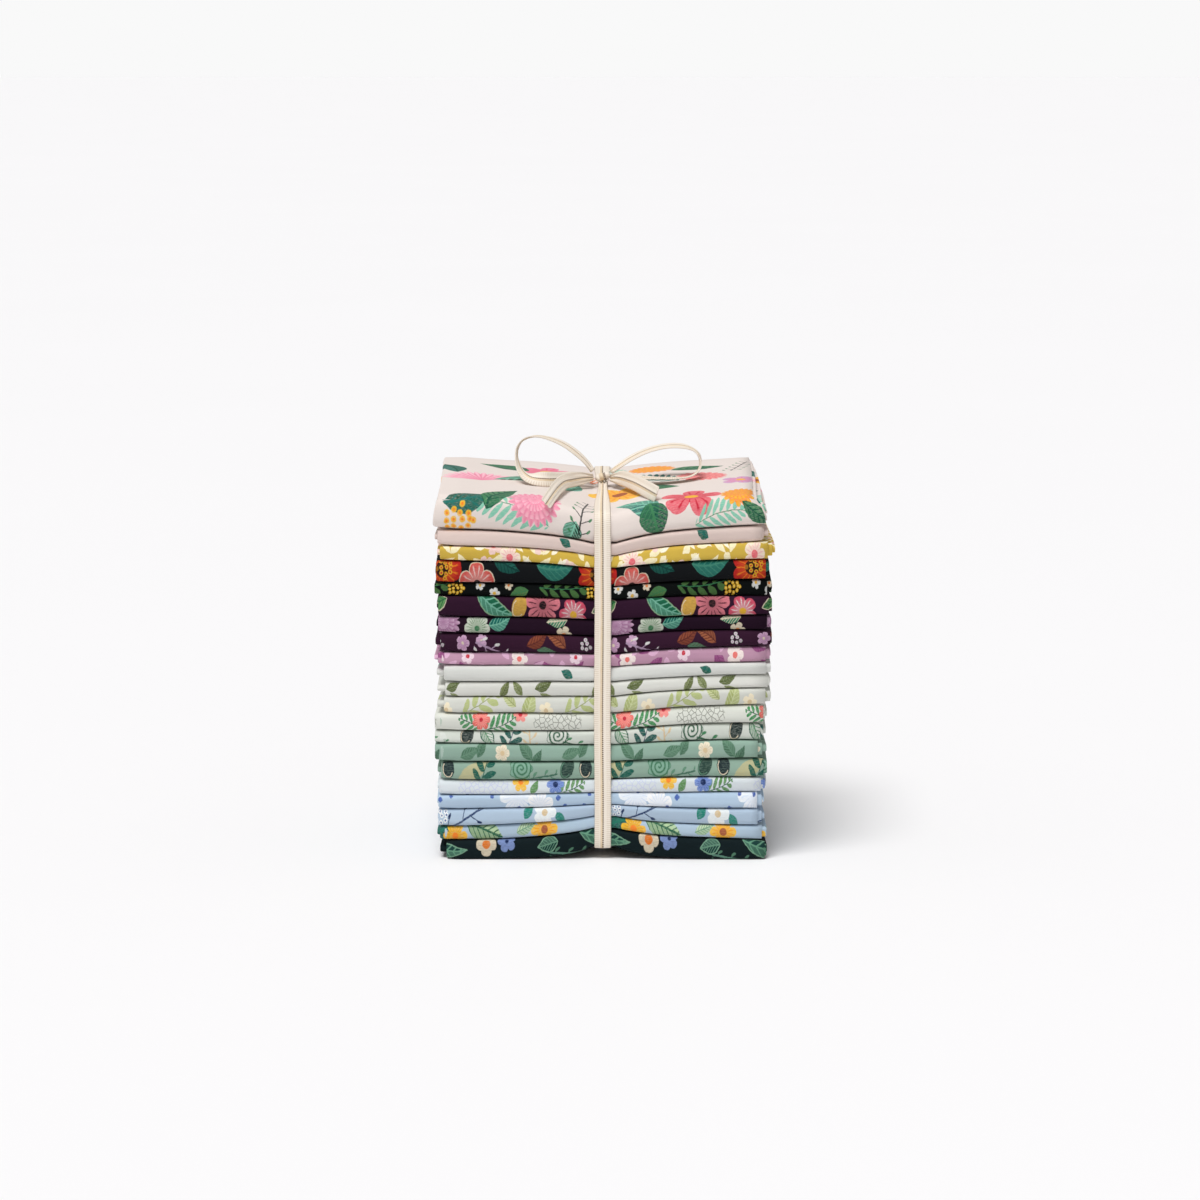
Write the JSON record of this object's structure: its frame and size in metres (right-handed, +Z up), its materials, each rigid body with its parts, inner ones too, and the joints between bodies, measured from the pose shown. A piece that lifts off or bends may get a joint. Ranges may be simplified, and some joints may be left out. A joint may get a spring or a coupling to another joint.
{
  "type": "fat quarter bundle",
  "caption": "Stack of folded quilting cotton cuts in printed florals, tied round once with a narrow woven tape and a bow.",
  "frame": {"origin": "centre of the bundle's box, on the surface it stands on", "axes": "+Z up through the stack, the folded noses face -Y, +X along the folds to the viewer's right"},
  "size_m": [0.1446, 0.1175, 0.1768],
  "materials": {
    "cotton_01_pink_large_floral": "matt printed plain-weave cotton",
    "cotton_02_pink_small_leaf": "matt printed plain-weave cotton",
    "cotton_03_mustard_petals": "matt printed plain-weave cotton",
    "cotton_04_black_fruit": "matt printed plain-weave cotton",
    "cotton_05_black_sprig": "matt printed plain-weave cotton",
    "cotton_06_plum_pods": "matt printed plain-weave cotton",
    "cotton_07_plum_mauve_floral": "matt printed plain-weave cotton",
    "cotton_08_plum_mixed_leaf": "matt printed plain-weave cotton",
    "cotton_09_orchid_leaf": "matt printed plain-weave cotton",
    "cotton_10_white_small_leaf": "matt printed plain-weave cotton",
    "cotton_11_white_olive_sprig": "matt printed plain-weave cotton",
    "cotton_12_white_olive_foliage": "matt printed plain-weave cotton",
    "cotton_13_white_coral_fern": "matt printed plain-weave cotton",
    "cotton_14_white_green_rose": "matt printed plain-weave cotton",
    "cotton_15_sage_sprig": "matt printed plain-weave cotton",
    "cotton_16_sage_rose": "matt printed plain-weave cotton",
    "cotton_17_white_blue_fern": "matt printed plain-weave cotton",
    "cotton_18_blue_white_cluster": "matt printed plain-weave cotton",
    "cotton_19_blue_branch": "matt printed plain-weave cotton",
    "cotton_20_blue_yellow_flower": "matt printed plain-weave cotton",
    "cotton_21_navy_pod": "matt printed plain-weave cotton",
    "woven_tape": "matt cream herringbone tape with a stitched gold line"
  },
  "bodies": {
    "root": {"fat_quarter_01_pink_large_floral": "cotton_01_pink_large_floral", "fat_quarter_02_pink_small_leaf": "cotton_02_pink_small_leaf", "fat_quarter_03_mustard_petals": "cotton_03_mustard_petals", "fat_quarter_04_black_fruit": "cotton_04_black_fruit", "fat_quarter_05_black_sprig": "cotton_05_black_sprig", "fat_quarter_06_plum_pods": "cotton_06_plum_pods", "fat_quarter_07_plum_mauve_floral": "cotton_07_plum_mauve_floral", "fat_quarter_08_plum_mixed_leaf": "cotton_08_plum_mixed_leaf", "fat_quarter_09_orchid_leaf": "cotton_09_orchid_leaf", "fat_quarter_10_white_small_leaf": "cotton_10_white_small_leaf", "fat_quarter_11_white_olive_sprig": "cotton_11_white_olive_sprig", "fat_quarter_12_white_olive_foliage": "cotton_12_white_olive_foliage", "fat_quarter_13_white_coral_fern": "cotton_13_white_coral_fern", "fat_quarter_14_white_green_rose": "cotton_14_white_green_rose", "fat_quarter_15_sage_sprig": "cotton_15_sage_sprig", "fat_quarter_16_sage_rose": "cotton_16_sage_rose", "fat_quarter_17_white_blue_fern": "cotton_17_white_blue_fern", "fat_quarter_18_blue_white_cluster": "cotton_18_blue_white_cluster", "fat_quarter_19_blue_branch": "cotton_19_blue_branch", "fat_quarter_20_blue_yellow_flower": "cotton_20_blue_yellow_flower", "fat_quarter_21_navy_pod": "cotton_21_navy_pod", "tape_band": "woven_tape", "tape_knot": "woven_tape", "tape_loop_left": "woven_tape", "tape_loop_right": "woven_tape", "tape_tail_left": "woven_tape", "tape_tail_right": "woven_tape"}
  },
  "joints": []
}
